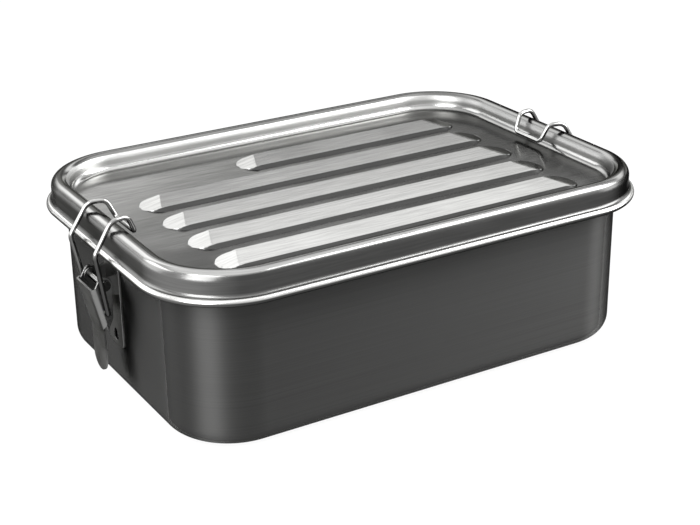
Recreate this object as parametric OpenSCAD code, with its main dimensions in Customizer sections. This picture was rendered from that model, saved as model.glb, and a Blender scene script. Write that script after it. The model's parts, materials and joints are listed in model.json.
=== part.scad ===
// Metal lunch box: a deep-drawn steel tray, a pressed lid with a sealing ring,
// and a wire-bail over-centre latch on each short end.
// X runs along the box, Y across it, Z up; the origin is the middle of the base.

/* [Tray] */
// Length of the tray over its side walls
tray_length = 211.8; // [190:0.1:240]
// Width of the tray over its side walls
tray_width = 143.8; // [125:0.1:165]
// Height of the tray to the top of its rim
tray_height = 72.75; // [66:0.05:90]
// Outer radius of the tray's upright corners
corner_radius = 29.1; // [24:0.1:36]
// Outer radius between the base and the walls
base_radius = 8.1; // [4:0.1:12]
// Thickness of the steel sheet
sheet = 0.7; // [0.5:0.05:1]
// Outer radius of the rolled edges of tray and lid
curl_radius = 1.6; // [1.4:0.05:1.9]

/* [Lid] */
// Clearance between the lid's recess wall and the inside of the tray
plug_gap = 0.56; // [0.4:0.02:0.9]
// Clear width of the channel that covers the tray's rim
channel_width = 6.26; // [5.6:0.02:7]
// Depth from the top of the lid to the middle of its rolled edge
skirt_depth = 11.3; // [9.5:0.1:13]
// Depth of the flat panel below the top of the lid
recess_depth = 6; // [5:0.1:7]
// Radius between the panel and the recess wall
recess_radius = 1.5; // [1:0.1:2.5]

/* [Seal] */
// Thickness of the seal at its middle
seal_thickness = 2.9; // [2.5:0.05:3.1]
// Gap between the seal and the tray's rim
seal_gap = 0.25; // [0.15:0.05:0.4]
// Clearance between the seal and its channel
seal_clearance = 0.05; // [0.02:0.01:0.1]

/* [Ribs] */
// Number of pressed ribs
rib_count = 5; // [3:1:5]
// Distance between the ribs' centre lines
rib_pitch = 23.2; // [21:0.1:24]
// How far the middle rib lies in front of the lid's centre
rib_shift = 6.6; // [3:0.1:7]
// Height of the ribs above the panel
rib_height = 1.6; // [1.2:0.1:2.2]
// Width of a rib's flat top
rib_top = 11.2; // [9:0.1:12]
// Width of a rib at its foot
rib_foot = 17; // [14:0.1:18]
// Length of a rib's flat top
rib_length = 154; // [130:1:160]
// Length of the sloping end of a rib
rib_end = 9.5; // [7:0.1:11]
// How much shorter the rearmost rib is at its left end
rib_short = 57; // [40:1:70]

/* [Latch] */
// Diameter of the bail's wire
wire = 2; // [1.8:0.1:2.2]
// Distance of the hinge pin from the tray's wall
pin_out = 7.1; // [6.9:0.05:7.6]
// Depth of the hinge pin below the lid's rolled edge
pin_drop = 13.8; // [13:0.1:16]
// Radius of the hinge pin
pin_radius = 1.5; // [1.3:0.05:1.7]
// Radius of the hinge pin's heads
pin_head = 2.3; // [2.1:0.05:2.6]
// Thickness of the hinge pin's heads
pin_head_thickness = 0.7; // [0.5:0.05:0.9]
// Distance from the hinge pin down to the bail's pivot
bail_drop = 12; // [11.5:0.1:12.5]
// Running clearance round the pin and the ends of the bail
running_gap = 0.05; // [0.03:0.01:0.08]
// Width of the lever over its side flanges
lever_width = 15.4; // [15:0.1:16]
// Thickness of the sheet of lever and bracket
latch_sheet = 0.8; // [0.7:0.05:0.9]
// How far the lever's top edge stands out from the hinge pin
lever_out = 5.2; // [5.1:0.05:5.5]
// Length of the lever's channel below the hinge pin
channel_length = 20.5; // [19.5:0.1:22]
// Length of the flat tongue below the channel
tongue_length = 18.8; // [16:0.1:20]
// Width of the tongue
tongue_width = 12.4; // [11:0.1:13]
// Side clearance between lever, bracket and pin head
side_gap = 0.2; // [0.1:0.05:0.3]
// Thickness of the bracket's base plate
bracket_plate = 1; // [0.8:0.05:1.2]
// Height of the bracket's base plate
bracket_height = 35; // [33:0.5:38]
// Radius of the hole at the foot of the bracket
bracket_hole = 2.5; // [2:0.1:3]
// Height of the hole above the bottom of the bracket
bracket_hole_height = 4.5; // [4:0.1:5]
// Distance between the bail's legs at their outer bends
bail_width = 25.2; // [24:0.1:27]
// Distance between the bail's two humps
hump_width = 24; // [22:0.1:25]
// Width of the bail's hook across the lid's recess
hook_width = 18; // [16:0.1:20]
// Gap between the bail and the lid's rolled edge
bail_gap = 2.9; // [2.5:0.1:3.3]
// Gap between the bail's humps and the top of the lid
hump_gap = 2; // [1.8:0.1:3]
// Gap between the bail's hook and the recess wall
hook_gap = 3.74; // [3.6:0.02:4]
// Gap between the hinge pin and the bracket's ears
pin_fit = 0.02; // [0.01:0.01:0.05]
// Gap between the bail's hook and the panel
hook_lift = 1.7; // [1.6:0.05:2]
// Height of the legs' outer bends above the lid's rolled edge
bend_rise = 1.7; // [1:0.1:2.5]
// How far the bail's ends reach past the inside of the lever's flanges
end_reach = 1; // [0.6:0.1:1.5]
// Radius of the bend at each end of the bail
end_bend = 1.2; // [1.1:0.05:1.2]
// Radius of the legs' outer bends
leg_bend = 4; // [3:0.5:5]
// Radius of the humps' outer bends
hump_bend = 5; // [4:0.5:6]
// Radius of the humps' inner bends
hump_in_bend = 3.5; // [3:0.1:3.8]
// Radius of the bends at the ends of the hook
hook_bend = 2.4; // [2:0.1:3]

/* [Hidden] */
$fn = 48;
e = 0.01;
// Facets round the wire, the turn of one step along a bend, how much slimmer the
// faceted wire is than its round ends, and how far it runs into them
wire_sides = 12;
wire_step = 18;
wire_slack = 0.02;
wire_lap = 0.3;

// Every upright corner turns about the same point, so walls are offsets from it
core_x = tray_length / 2 - corner_radius;
core_y = tray_width / 2 - corner_radius;
wall_x = tray_length / 2;
wall_in = corner_radius - sheet;

rim_s = wall_in + curl_radius;
rim_z = tray_height - curl_radius;
// Angles between which the rolled edges stay open
tray_slit = [181, 240];
lid_slit = [120, 179];

seal_z = tray_height + seal_gap;
channel_r = channel_width / 2;
channel_z = seal_z + seal_thickness - channel_r;
channel_in = wall_in - plug_gap;
bead_s = channel_in + channel_r;
lid_z = seal_z + seal_thickness + sheet;
skirt_in = channel_in + channel_width;
lid_curl_s = skirt_in + curl_radius;
lid_curl_z = lid_z - skirt_depth;
recess_s = channel_in - sheet;
panel_z = lid_z - recess_depth;
hollow_foot = rib_foot - 4 * sheet;
hollow_top = rib_top - 2 * sheet;

// Latch on the right-hand end, in the XZ plane; the left one is its mirror image.
// Metal round the pivots, and small offsets of the lever, the bracket and the bail
ear_wall = 1.5;
ear_root_drop = 6;
ear_root_rise = 3.5;
lobe_step = 0.4;
foot_wall = 1.6;
top_drop = 0.7;
foot_out = 0.6;
nose_out = 1.2;
nose_rise = 1.1;
neck_in = 1;
tongue_lap = 1.2;
bracket_rise = 4.9;
bracket_edge = 0.3;
hump_spread = 2.2;
hook_rake = 3.4;
pin_x = wall_x + pin_out;
pin_z = lid_curl_z - pin_drop;
pivot_z = pin_z - bail_drop;
wire_r = wire / 2;
curl_x = core_x + lid_curl_s + curl_radius;
bead_x = core_x + bead_s;
recess_x = core_x + recess_s;
flange_out = lever_width / 2;
flange_in = flange_out - latch_sheet;
ear_out = flange_in - side_gap;
ear_in = ear_out - latch_sheet;
ear_r = pin_radius + ear_wall;
lobe_r = ear_r + lobe_step;
foot_r = wire_r + foot_wall;
lever_top = [pin_x + lever_out, pin_z - top_drop];
lever_foot = [pin_x + foot_out, pin_z - channel_length];
nose = [pin_x + nose_out, pin_z + lobe_r + nose_rise];
neck = [pin_x - lobe_r + neck_in, pin_z + lobe_r - neck_in];
lever_tip_z = lever_foot[1] - tongue_length;
bracket_z = pin_z + bracket_rise - bracket_height;
bracket_half = ear_out + bracket_edge;
leg_y = flange_out + side_gap + wire_r;
bend_x = curl_x + bail_gap + wire_r;
bend_z = lid_curl_z + bend_rise;
hump_z = lid_z + hump_gap + wire_r;
hook_x = recess_x - hook_gap - wire_r;
hook_z = panel_z + hook_lift + wire_r;
hump_out = bead_x + hump_spread;
hump_in = hook_x + hook_rake;
hump_lean = 1.4;

// A straight-sided loop with round corners, swept from a profile whose x is the
// distance from the corners' centres
module around() {
    for (mx = [0, 1]) {
        mirror([mx, 0, 0]) {
            translate([core_x, core_y, 0]) rotate([90, 0, 0]) linear_extrude(2 * core_y) children();
            for (my = [0, 1]) {
                mirror([0, my, 0]) translate([core_x, core_y, 0]) rotate_extrude(angle = 90) children();
            }
        }
    }
    for (my = [0, 1]) {
        mirror([0, my, 0]) translate([-core_x, core_y, 0])
            rotate([90, 0, 90]) linear_extrude(2 * core_x) children();
    }
}

// A flat plate that fills the middle of the loop
module core_plate(z) {
    translate([-core_x, -core_y, z]) cube([2 * core_x, 2 * core_y, sheet]);
}

// Rolled edge: a ring of sheet that stays open between two angles
module curl(slit) {
    reach = 2 * curl_radius;
    difference() {
        circle(curl_radius);
        circle(curl_radius - sheet);
        polygon(concat([[0, 0]], [for (a = [slit[0], (slit[0] + slit[1]) / 2, slit[1]])
            reach * [cos(a), sin(a)]]));
    }
}

module tray_profile() {
    square([corner_radius - base_radius, sheet]);
    translate([corner_radius - base_radius, base_radius]) intersection() {
        difference() {
            circle(base_radius);
            circle(base_radius - sheet);
        }
        translate([0, -base_radius]) square(base_radius);
    }
    translate([wall_in, base_radius]) square([sheet, rim_z - base_radius]);
    translate([rim_s, rim_z]) curl(tray_slit);
}

module tray() {
    color([0.44, 0.44, 0.45]) {
        around() tray_profile();
        core_plate(0);
    }
}

module lid_profile() {
    translate([0, panel_z - sheet]) square([channel_in, sheet]);
    translate([recess_s, panel_z]) square([sheet, channel_z - panel_z]);
    translate([recess_s - recess_radius, panel_z]) difference() {
        square(recess_radius);
        translate([0, recess_radius]) circle(recess_radius);
    }
    translate([bead_s, channel_z]) difference() {
        circle(channel_r + sheet);
        circle(channel_r);
        translate([-2 * channel_r, -2 * channel_r]) square([4 * channel_r, 2 * channel_r]);
    }
    translate([skirt_in, lid_curl_z]) square([sheet, channel_z - lid_curl_z]);
    translate([lid_curl_s, lid_curl_z]) curl(lid_slit);
}

// One pressed rib: a flat top with sloping sides and long rounded ends
module rib(x0, x1) {
    hull() {
        translate([x0, -rib_top / 2, panel_z]) cube([x1 - x0, rib_top, rib_height]);
        for (x = [x0, x1]) {
            translate([x, 0, panel_z - sheet / 2]) scale([rib_end, rib_foot / 2, 1])
                cylinder(r = 1, h = sheet / 2, $fn = 32);
        }
    }
}

// The hollow that the press leaves under a rib
module rib_hollow(x0, x1) {
    top = panel_z + rib_height - sheet;
    foot = panel_z - sheet - e;
    translate([x0, 0, 0]) rotate([90, 0, 90]) linear_extrude(x1 - x0)
        polygon([[-hollow_foot / 2, foot], [hollow_foot / 2, foot],
                 [hollow_top / 2, top], [-hollow_top / 2, top]]);
}

function rib_y(i) = (i - (rib_count - 1) / 2) * rib_pitch - rib_shift;
function rib_start(i) = -rib_length / 2 + (i == rib_count - 1 ? rib_short : 0);

module lid() {
    color([0.62, 0.62, 0.63]) difference() {
        union() {
            around() lid_profile();
            core_plate(panel_z - sheet);
            for (i = [0 : rib_count - 1]) {
                translate([0, rib_y(i), 0]) rib(rib_start(i), rib_length / 2);
            }
        }
        for (i = [0 : rib_count - 1]) {
            translate([0, rib_y(i), 0]) rib_hollow(rib_start(i), rib_length / 2);
        }
    }
}

// D-shaped ring that fills the top of the lid's channel
module lid_seal() {
    color([0.82, 0.82, 0.8]) around() translate([bead_s, channel_z]) intersection() {
        circle(channel_r - seal_clearance);
        translate([-channel_r, seal_z - channel_z]) square([2 * channel_r, seal_thickness]);
    }
}

// A plate in the XZ plane between two distances from the middle, on both sides
module cheeks(y_in, y_out) {
    for (my = [0, 1]) {
        mirror([0, my, 0]) translate([0, y_out, 0]) rotate([90, 0, 0])
            linear_extrude(y_out - y_in) children();
    }
}

module bracket() {
    color([0.4, 0.4, 0.41]) {
        difference() {
            translate([wall_x, -bracket_half, bracket_z])
                cube([bracket_plate, 2 * bracket_half, bracket_height]);
            translate([wall_x - e, 0, bracket_z + bracket_hole_height]) rotate([0, 90, 0])
                cylinder(r = bracket_hole, h = bracket_plate + 2 * e);
        }
        cheeks(ear_in, ear_out) difference() {
            union() {
                translate([pin_x, pin_z]) circle(ear_r);
                polygon([[wall_x + bracket_plate / 2, pin_z - ear_root_drop],
                         [wall_x + bracket_plate / 2, pin_z + ear_root_rise],
                         [pin_x, pin_z + ear_r], [pin_x, pin_z - ear_r]]);
            }
            translate([pin_x, pin_z]) circle(pin_radius + pin_fit);
        }
    }
}

module hinge_pin() {
    head_y = flange_out + side_gap / 2;
    color([0.66, 0.66, 0.67]) translate([pin_x, 0, pin_z]) rotate([90, 0, 0]) {
        cylinder(r = pin_radius, h = 2 * head_y, center = true);
        for (mz = [0, 1]) {
            mirror([0, 0, mz]) translate([0, 0, head_y]) cylinder(r = pin_head, h = pin_head_thickness);
        }
    }
}

// Side flange of the lever: a lobe round each pivot, joined to the front plate
module lever_flange() {
    difference() {
        union() {
            translate([pin_x, pin_z]) circle(lobe_r);
            translate([pin_x, pivot_z]) circle(foot_r);
            polygon([lever_top, nose, neck, [pin_x - lobe_r, pin_z], [pin_x - foot_r, pivot_z],
                     [lever_foot[0] - latch_sheet, lever_foot[1]], lever_foot]);
        }
        translate([pin_x, pin_z]) circle(pin_radius + running_gap);
        translate([pin_x, pivot_z]) circle(wire_r + running_gap);
    }
}

module lever() {
    slope = lever_top - lever_foot;
    inward = latch_sheet / norm(slope) * [-slope[1], slope[0]];
    tip_z = lever_tip_z + tongue_width / 2;
    color([0.5, 0.5, 0.51]) {
        cheeks(flange_in, flange_out) lever_flange();
        translate([0, flange_in, 0]) rotate([90, 0, 0]) linear_extrude(2 * flange_in)
            polygon([lever_top, lever_foot, lever_foot + inward, lever_top + inward]);
        translate([lever_foot[0] - latch_sheet, 0, 0]) rotate([90, 0, 90]) linear_extrude(latch_sheet) {
            translate([0, tip_z]) circle(tongue_width / 2);
            translate([-tongue_width / 2, tip_z])
                square([tongue_width, lever_foot[1] + tongue_lap - tip_z]);
        }
    }
}

function unit(v) = v / norm(v);

// Points round the bend of radius r that replaces corner b of a route
function bend(a, b, c, r) =
    let (u = unit(b - a), v = unit(c - b), turn = acos(u * v), inward = unit(v - u),
         middle = b + r / cos(turn / 2) * inward, steps = ceil(turn / wire_step))
    [for (i = [0 : steps]) let (t = turn * (i / steps - 0.5))
        middle + r * (sin(t) * unit(u + v) - cos(t) * inward)];

// A route with each inner corner rounded by its own radius
function rounded(points, radii) =
    let (last = len(points) - 1)
    concat([points[0]],
           [for (i = [1 : last - 1]) each bend(points[i - 1], points[i], points[i + 1], radii[i])],
           [points[last]]);

// Direction of a line of points at each of them
function headings(p) =
    [for (i = [0 : len(p) - 1]) unit(p[min(i + 1, len(p) - 1)] - p[max(i - 1, 0)])];

// A vector square to each heading, carried along without twist
function normals(d) =
    [for (i = 0, n = unit(cross(d[0], [0, 0, 1])); i < len(d);
          i = i + 1, n = i < len(d) ? unit(n - (n * d[i]) * d[i]) : n) n];

// Round wire along a line of points, closed at both ends
module wire_along(p) {
    d = headings(p);
    n = normals(d);
    rings = len(p);
    polyhedron(
        points = [for (i = [0 : rings - 1], k = [0 : wire_sides - 1])
            p[i] + (wire_r - wire_slack) * (cos(k * 360 / wire_sides) * n[i]
                                            + sin(k * 360 / wire_sides) * cross(d[i], n[i]))],
        faces = concat(
            [for (i = [0 : rings - 2], k = [0 : wire_sides - 1])
                let (a = i * wire_sides + k, b = i * wire_sides + (k + 1) % wire_sides)
                each [[a, a + wire_sides, b], [b, a + wire_sides, b + wire_sides]]],
            [[for (k = [0 : wire_sides - 1]) k]],
            [[for (k = [wire_sides - 1 : -1 : 0]) (rings - 1) * wire_sides + k]]));
}

// One bent wire: its ends turn in the lever, and its hook lies in the lid's recess
module bail() {
    half = [[pin_x, flange_out - wire_lap, pivot_z], [pin_x, leg_y, pivot_z],
            [bend_x, bail_width / 2, bend_z], [hump_out, hump_width / 2, hump_z],
            [hump_in, hump_width / 2 - hump_lean, hump_z], [hook_x, hook_width / 2, hook_z]];
    turns = [0, end_bend, leg_bend, hump_bend, hump_in_bend, hook_bend];
    back = [for (i = [len(half) - 1 : -1 : 0]) [half[i][0], -half[i][1], half[i][2]]];
    back_turns = [for (i = [len(half) - 1 : -1 : 0]) turns[i]];
    color([0.75, 0.75, 0.76]) {
        wire_along(rounded(concat(half, back), concat(turns, back_turns)));
        for (my = [0, 1]) {
            mirror([0, my, 0]) translate([pin_x, flange_out, pivot_z]) rotate([90, 0, 0])
                cylinder(r = wire_r, h = latch_sheet + end_reach);
        }
    }
}

module left() {
    mirror([1, 0, 0]) children();
}

tray();
lid();
lid_seal();
left() bracket();  // left_bracket
left() hinge_pin();  // left_hinge_pin
left() lever();  // left_lever
left() bail();  // left_bail
bracket();  // right_bracket
hinge_pin();  // right_hinge_pin
lever();  // right_lever
bail();  // right_bail
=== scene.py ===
# %% [markdown]
# # A steel lunch box with wire latches
#
# The real box is drawn and pressed from thin stainless sheet: a deep tray, a lid
# with a hollow bead round its edge and five ribs across its middle, and a latch
# on each short end made from a bracket, a pin, a lever and one bent wire.
# Sheet metal suits surfaces that are worked out from a formula: a profile is
# carried round a rounded rectangle, and the ribs are a height laid over a grid.
# Modelling the same shapes by hand would be slower and less even, and polished
# metal shows every dent.

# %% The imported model, as a fixed frame
import json
import math

import bpy
import bmesh
import numpy as np
from mathutils import Matrix, Vector


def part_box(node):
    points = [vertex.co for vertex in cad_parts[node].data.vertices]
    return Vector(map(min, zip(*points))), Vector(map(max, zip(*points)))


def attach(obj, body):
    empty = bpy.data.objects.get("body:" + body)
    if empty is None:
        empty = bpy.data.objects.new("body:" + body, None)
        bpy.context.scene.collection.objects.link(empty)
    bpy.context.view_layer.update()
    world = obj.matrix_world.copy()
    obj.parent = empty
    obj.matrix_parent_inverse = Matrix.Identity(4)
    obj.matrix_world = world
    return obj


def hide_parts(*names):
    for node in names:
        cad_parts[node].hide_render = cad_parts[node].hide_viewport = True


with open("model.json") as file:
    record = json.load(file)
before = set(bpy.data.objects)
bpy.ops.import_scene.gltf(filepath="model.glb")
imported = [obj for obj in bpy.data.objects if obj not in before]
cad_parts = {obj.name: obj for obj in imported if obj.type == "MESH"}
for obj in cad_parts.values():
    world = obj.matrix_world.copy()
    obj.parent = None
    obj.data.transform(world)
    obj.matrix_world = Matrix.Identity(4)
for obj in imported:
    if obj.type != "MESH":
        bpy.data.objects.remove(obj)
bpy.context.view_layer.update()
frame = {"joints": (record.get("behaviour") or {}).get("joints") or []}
MM = 0.001

# %% [markdown]
# ## Sizes
#
# The sheet's thickness and the bend radii belong to the tools that pressed the
# box, so they are written here once. Every place comes from the frame: the
# corners' centres, the height of the panel and the middle of the rolled edges
# all follow from the boxes of the tray and the lid.

# %% Sizes of the pressed sheet
SHEET = 0.7 * MM
CURL = 1.6 * MM
CORNER = 29.1 * MM
BASE_ROUND = 8.1 * MM
BEAD = 3.83 * MM
RECESS_DEPTH = 7.3 * MM
RECESS_ROUND = 2.8 * MM
SKIRT_FLARE = 1.3 * MM
WALL_HOLD = 1.0 * MM
TRAY_CURL_END = -118
LID_CURL_END = -176

tray_low, tray_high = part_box("tray")
lid_low, lid_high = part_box("lid")
seal_low, seal_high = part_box("lid_seal")

wall_in = CORNER - SHEET
core_x = tray_high.x - 2 * CURL - wall_in
core_y = tray_high.y - 2 * CURL - wall_in
rim_s = wall_in + CURL
rim_z = tray_high.z - CURL

curl_s = lid_high.x - core_x - CURL
curl_z = lid_low.z + CURL
skirt_s = curl_s - CURL + SHEET
bead_s = skirt_s - BEAD
bead_z = lid_high.z - BEAD
recess_s = bead_s - BEAD
panel_s = recess_s - RECESS_ROUND
panel_z = lid_high.z - RECESS_DEPTH
print("corner centres at", round(core_x / MM, 2), round(core_y / MM, 2), "mm")
print("panel at", round(panel_z / MM, 2), "mm")

# %% [markdown]
# ## From grids of points to meshes
#
# A surface here is a grid: a numpy array of rows and columns of points, with the
# same number of UV pairs. Quads join each point to its neighbours. Grids that
# share an edge are welded afterwards, which also closes the seam of a loop and
# the point where a row shrinks to nothing.

# %% Grid helpers
def grid_faces(rows, columns, start=0):
    """Corner numbers of the quads of one grid, counted row by row from start."""
    row, column = np.meshgrid(np.arange(rows - 1), np.arange(columns - 1), indexing="ij")
    corner = start + row * columns + column
    return np.stack([corner, corner + 1, corner + columns + 1, corner + columns], -1).reshape(-1, 4)


def weld(mesh, distance=1e-6):
    """Merges points closer than distance and drops what has no area."""
    work = bmesh.new()
    work.from_mesh(mesh)
    bmesh.ops.remove_doubles(work, verts=work.verts, dist=distance)
    bmesh.ops.dissolve_degenerate(work, edges=work.edges, dist=distance / 10)
    work.to_mesh(mesh)
    work.free()


def mesh_of_grids(name, grids, flip=False, painted_light_and_roughness=None):
    """One object from a list of (points, uv) grids; flip turns its faces over,
    and the last argument gives each grid's points a vector that a material can read:
    a painted light level, which paints highlight or shade into the colour, and a roughness."""
    faces, start = [], 0
    for points, _ in grids:
        faces.append(grid_faces(*points.shape[:2], start))
        start += points.shape[0] * points.shape[1]
    faces = np.concatenate(faces)
    if flip:
        faces = faces[:, ::-1]
    points = np.concatenate([grid.reshape(-1, 3) for grid, _ in grids])
    uv = np.concatenate([pairs.reshape(-1, 2) for _, pairs in grids])
    mesh = bpy.data.meshes.new(name)
    mesh.vertices.add(len(points))
    mesh.vertices.foreach_set("co", points.ravel())
    mesh.loops.add(faces.size)
    mesh.loops.foreach_set("vertex_index", faces.ravel())
    mesh.polygons.add(len(faces))
    mesh.polygons.foreach_set("loop_start", np.arange(len(faces)) * 4)
    mesh.polygons.foreach_set("loop_total", np.full(len(faces), 4))
    mesh.update(calc_edges=True)
    layer = mesh.uv_layers.new(name="UVMap")
    layer.data.foreach_set("uv", uv[faces.ravel()].ravel())
    if painted_light_and_roughness is not None:
        values = np.concatenate([np.broadcast_to(value, grid.shape).reshape(-1, 3)
                                 for value, (grid, _) in zip(painted_light_and_roughness, grids)])
        mesh.attributes.new("painted_light_and_roughness", "FLOAT_VECTOR", "POINT").data.foreach_set("vector", values.ravel())
    weld(mesh)
    made = bpy.data.objects.new(name, mesh)
    bpy.context.scene.collection.objects.link(made)
    return made


def apply_modifiers(made):
    """Writes what the modifiers make into the object's own mesh."""
    shape = bpy.data.meshes.new_from_object(made.evaluated_get(bpy.context.evaluated_depsgraph_get()))
    made.modifiers.clear()
    made.data = shape
    return made


def smooth(made, crease=35):
    """Smooth shading, except across edges that turn by more than crease degrees."""
    mesh = made.data
    mesh.shade_smooth()
    mesh.set_sharp_from_angle(angle=math.radians(crease))
    return made


def sheet_metal(made, crease=35, thickness=SHEET):
    """Gives a surface its thickness on the side away from its faces."""
    solid = made.modifiers.new("sheet", "SOLIDIFY")
    solid.thickness = thickness
    solid.offset = -1
    return smooth(apply_modifiers(made), crease)


def arc(centre, radius, start, end, steps):
    """Points (s, z) on a circle between two angles in degrees."""
    angle = np.radians(np.linspace(start, end, steps + 1))
    return np.stack([centre[0] + radius * np.cos(angle), centre[1] + radius * np.sin(angle)], -1)


def lengths(points):
    """Distance along a line of points, from its first one to each."""
    return np.concatenate([[0], np.cumsum(np.linalg.norm(np.diff(points, axis=0), axis=1))])


# %% [markdown]
# ## Round the box
#
# Tray, lid and seal share one idea: all four upright corners turn about the same
# point at every height, so a wall is just a distance from a rectangle. A loop
# holds, for each step round the box, the foot on that rectangle and the
# direction outwards. A profile of distances and heights is then carried round it.

# %% Loop and sweep
def box_loop(side_x, side_y, corner_angles):
    """Feet and outward directions round the rectangle: right, back, left, front.

    side_x and side_y are rising stations on the straight sides, and
    corner_angles rising angles strictly between 0 and 90 degrees."""
    turn = np.radians(corner_angles)
    feet, outward = [], []
    for quarter in range(4):
        angle = quarter * math.pi / 2
        across = side_y if quarter % 2 == 0 else side_x
        reach = core_x if quarter % 2 == 0 else core_y
        direction = np.array([math.cos(angle), math.sin(angle)])
        along = np.array([-direction[1], direction[0]])
        feet.append(reach * direction + across[:, None] * along)
        outward.append(np.repeat(direction[None], len(across), 0))
        feet.append(np.repeat((reach * direction + across[-1] * along)[None], len(turn), 0))
        outward.append(np.stack([np.cos(angle + turn), np.sin(angle + turn)], -1))
    return close_loop(np.concatenate(feet), np.concatenate(outward), len(side_y) // 2)


def close_loop(feet, outward, skip):
    """Starts the loop behind the right-hand latch, where its seam is hidden."""
    feet, outward = np.roll(feet, -skip, 0), np.roll(outward, -skip, 0)
    return np.concatenate([feet, feet[:1]]), np.concatenate([outward, outward[:1]])


def sweep(loop, profile, uv_start=0.0):
    """Grid of points foot + distance * outward, at the profile's heights."""
    feet, outward = loop
    flat = feet[:, None] + profile[None, :, :1] * outward[:, None]
    height = np.broadcast_to(profile[None, :, 1:], (len(feet), len(profile), 1))
    points = np.concatenate([flat, height], -1)
    round_about = lengths(feet + CORNER * outward)
    across = uv_start + lengths(profile)
    uv = np.stack(np.broadcast_arrays(round_about[:, None], across[None]), -1)
    return points, uv


def side_stations(half, step, hold=0.6 * MM):
    """Stations on a straight side, with two close ones at each end."""
    inner = np.linspace(-half + hold, half - hold, 2 * round(half / step) + 1)
    return np.concatenate([[-half], inner, [half]])


def centre_plate(side_x, side_y, z):
    """The flat rectangle inside the loop, as one grid."""
    x, y = np.meshgrid(side_x, side_y)
    return np.stack([x, y, np.full_like(x, z)], -1), np.stack([x, y], -1)


# %% [markdown]
# ## The tray
#
# The tray is one deep-drawn shell. The surface drawn here is its inside, which
# runs up the wall and becomes the outside of the rolled edge. The sheet's
# thickness is then added outwards, as the press leaves it.

# %% Tray
def make_tray():
    """Inside face of base, round, wall and rolled edge, thickened outwards."""
    round_in = BASE_ROUND - SHEET
    foot = CORNER - BASE_ROUND
    wall_top = rim_z - WALL_HOLD
    profile = np.concatenate([
        np.stack([np.linspace(0, foot, 5), np.full(5, SHEET)], -1),
        arc((foot, BASE_ROUND), round_in, -90, 0, 14)[1:],
        np.stack([np.full(7, wall_in), np.linspace(BASE_ROUND + WALL_HOLD, wall_top, 7)], -1),
        arc((rim_s, rim_z), CURL, 180, TRAY_CURL_END, 26)])
    side_x, side_y = side_stations(core_x, 12 * MM), side_stations(core_y, 12 * MM)
    loop = box_loop(side_x, side_y, np.linspace(0, 90, 25)[1:-1])
    return sheet_metal(mesh_of_grids("tray_shell", [sweep(loop, profile),
                                                    centre_plate(side_x, side_y, SHEET)]))


tray = make_tray()
print("tray:", len(tray.data.polygons), "faces")

# %% [markdown]
# ## The lid's panel
#
# The ribs are long flats with sloping sides and leaf-shaped ends. Their height is
# a formula: the lowest of a top that slopes gently to the front, an end slope and
# a side slope. The grid's rows run along the ribs, crowd together on their sides
# and bend round their ends, so that each crease lies on a row.
#
# Each part of the sheet has a painted light level and a roughness, kept as a value at
# each point that the material reads. The level is painted highlight or painted shade:
# it is multiplied into the colour so that each band shows the light or dark reflection
# it should, while the roughness is real. A few sides of the lid carry more painted
# light or painted shade than the others, and these shares are named below.

# %% Rib sizes
RIB_ROWS = np.array([-50.9, -27.7, -4.5, 18.7, 41.9]) * MM
RIB_PITCH = 23.2 * MM
RIB_HEIGHT = 1.7 * MM
RIB_TILT = 0.078
RIB_TOP = 12.0 * MM
RIB_FOOT = 17.0 * MM
RIB_END = 8.6 * MM
RIB_LEFT = -76.0 * MM
RIB_RIGHT = 76.0 * MM
RIB_SHORT_START = -19.2 * MM
TIP_WIDTH = 0.25
RIDGE_CREASE = 0.02 * MM
RIB_CREASE = 20
END_STEP = 0.5 * MM
END_REACH = 4.5 * MM
SIDE_MARGIN = 0.1 * MM

# Painted light level (painted highlight or painted shade) and roughness of each part of the sheet; the
# panel's level is its own tone
PANEL_TONE_AND_ROUGHNESS = (0.46, 0.15, 0)
SIDE_PAINTED_SHADE_AND_ROUGHNESS = (0.075, 0.25, 0)
FOOT_PAINTED_LIGHT_AND_ROUGHNESS = (0.50, 0.18, 0)
WALL_PAINTED_LIGHT_AND_ROUGHNESS = (0.50, 0.42, 0)
BEAD_PAINTED_LIGHT_AND_ROUGHNESS = (0.42, 0.16, 0)
CREST_PAINTED_SHADE_AND_ROUGHNESS = (0.22, 0.18, 0)
SKIRT_PAINTED_SHADE_AND_ROUGHNESS = (0.065, 0.30, 0)
FLARE_PAINTED_LIGHT_AND_ROUGHNESS = (0.28, 0.30, 0)
CURL_PAINTED_HIGHLIGHT_AND_ROUGHNESS = (0.70, 0.25, 0)
UNDER_PAINTED_SHADE_AND_ROUGHNESS = (0.06, 0.30, 0)

# Painted light and painted shade by side: how much brighter the skirt is on the left and
# the panel's edge at the back, and how much duller all but the curl is on the right and the bead at the
# back
LEFT_SKIRT_PAINTED_LIGHT = 1.8
BACK_MARGIN_PAINTED_LIGHT = 0.7
MARGIN_FADE = 5.0 * MM
RIGHT_SIDE_PAINTED_SHADE = 0.42
BACK_BEAD_PAINTED_SHADE = 0.4

# Painted light levels that part the skirt, the crest and flare, the bead, and the curl
SKIRT_BELOW = 0.1
BEAD_ABOVE = 0.3
BEAD_BELOW = 0.45
CURL_ABOVE = 0.6


def soft_min(a, b, width):
    """The smaller of a and b, rounded where they are closer than width."""
    mix = np.clip(0.5 + (b - a) / (2 * width), 0, 1)
    return b + (a - b) * mix - width * mix * (1 - mix)


def rib_plan(x, start):
    """At each x: how far past the straight part it is, and the half widths of top and foot."""
    beyond = np.maximum(start - x, x - RIB_RIGHT) / RIB_END
    within = np.clip(beyond, 0, math.sqrt(1 - TIP_WIDTH ** 2))
    narrow = np.sqrt(1 - within ** 2)
    foot = RIB_FOOT / 2 * narrow
    top = (RIB_TOP + (RIB_FOOT - RIB_TOP) * within) / 2 * narrow
    return beyond, top, foot


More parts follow.
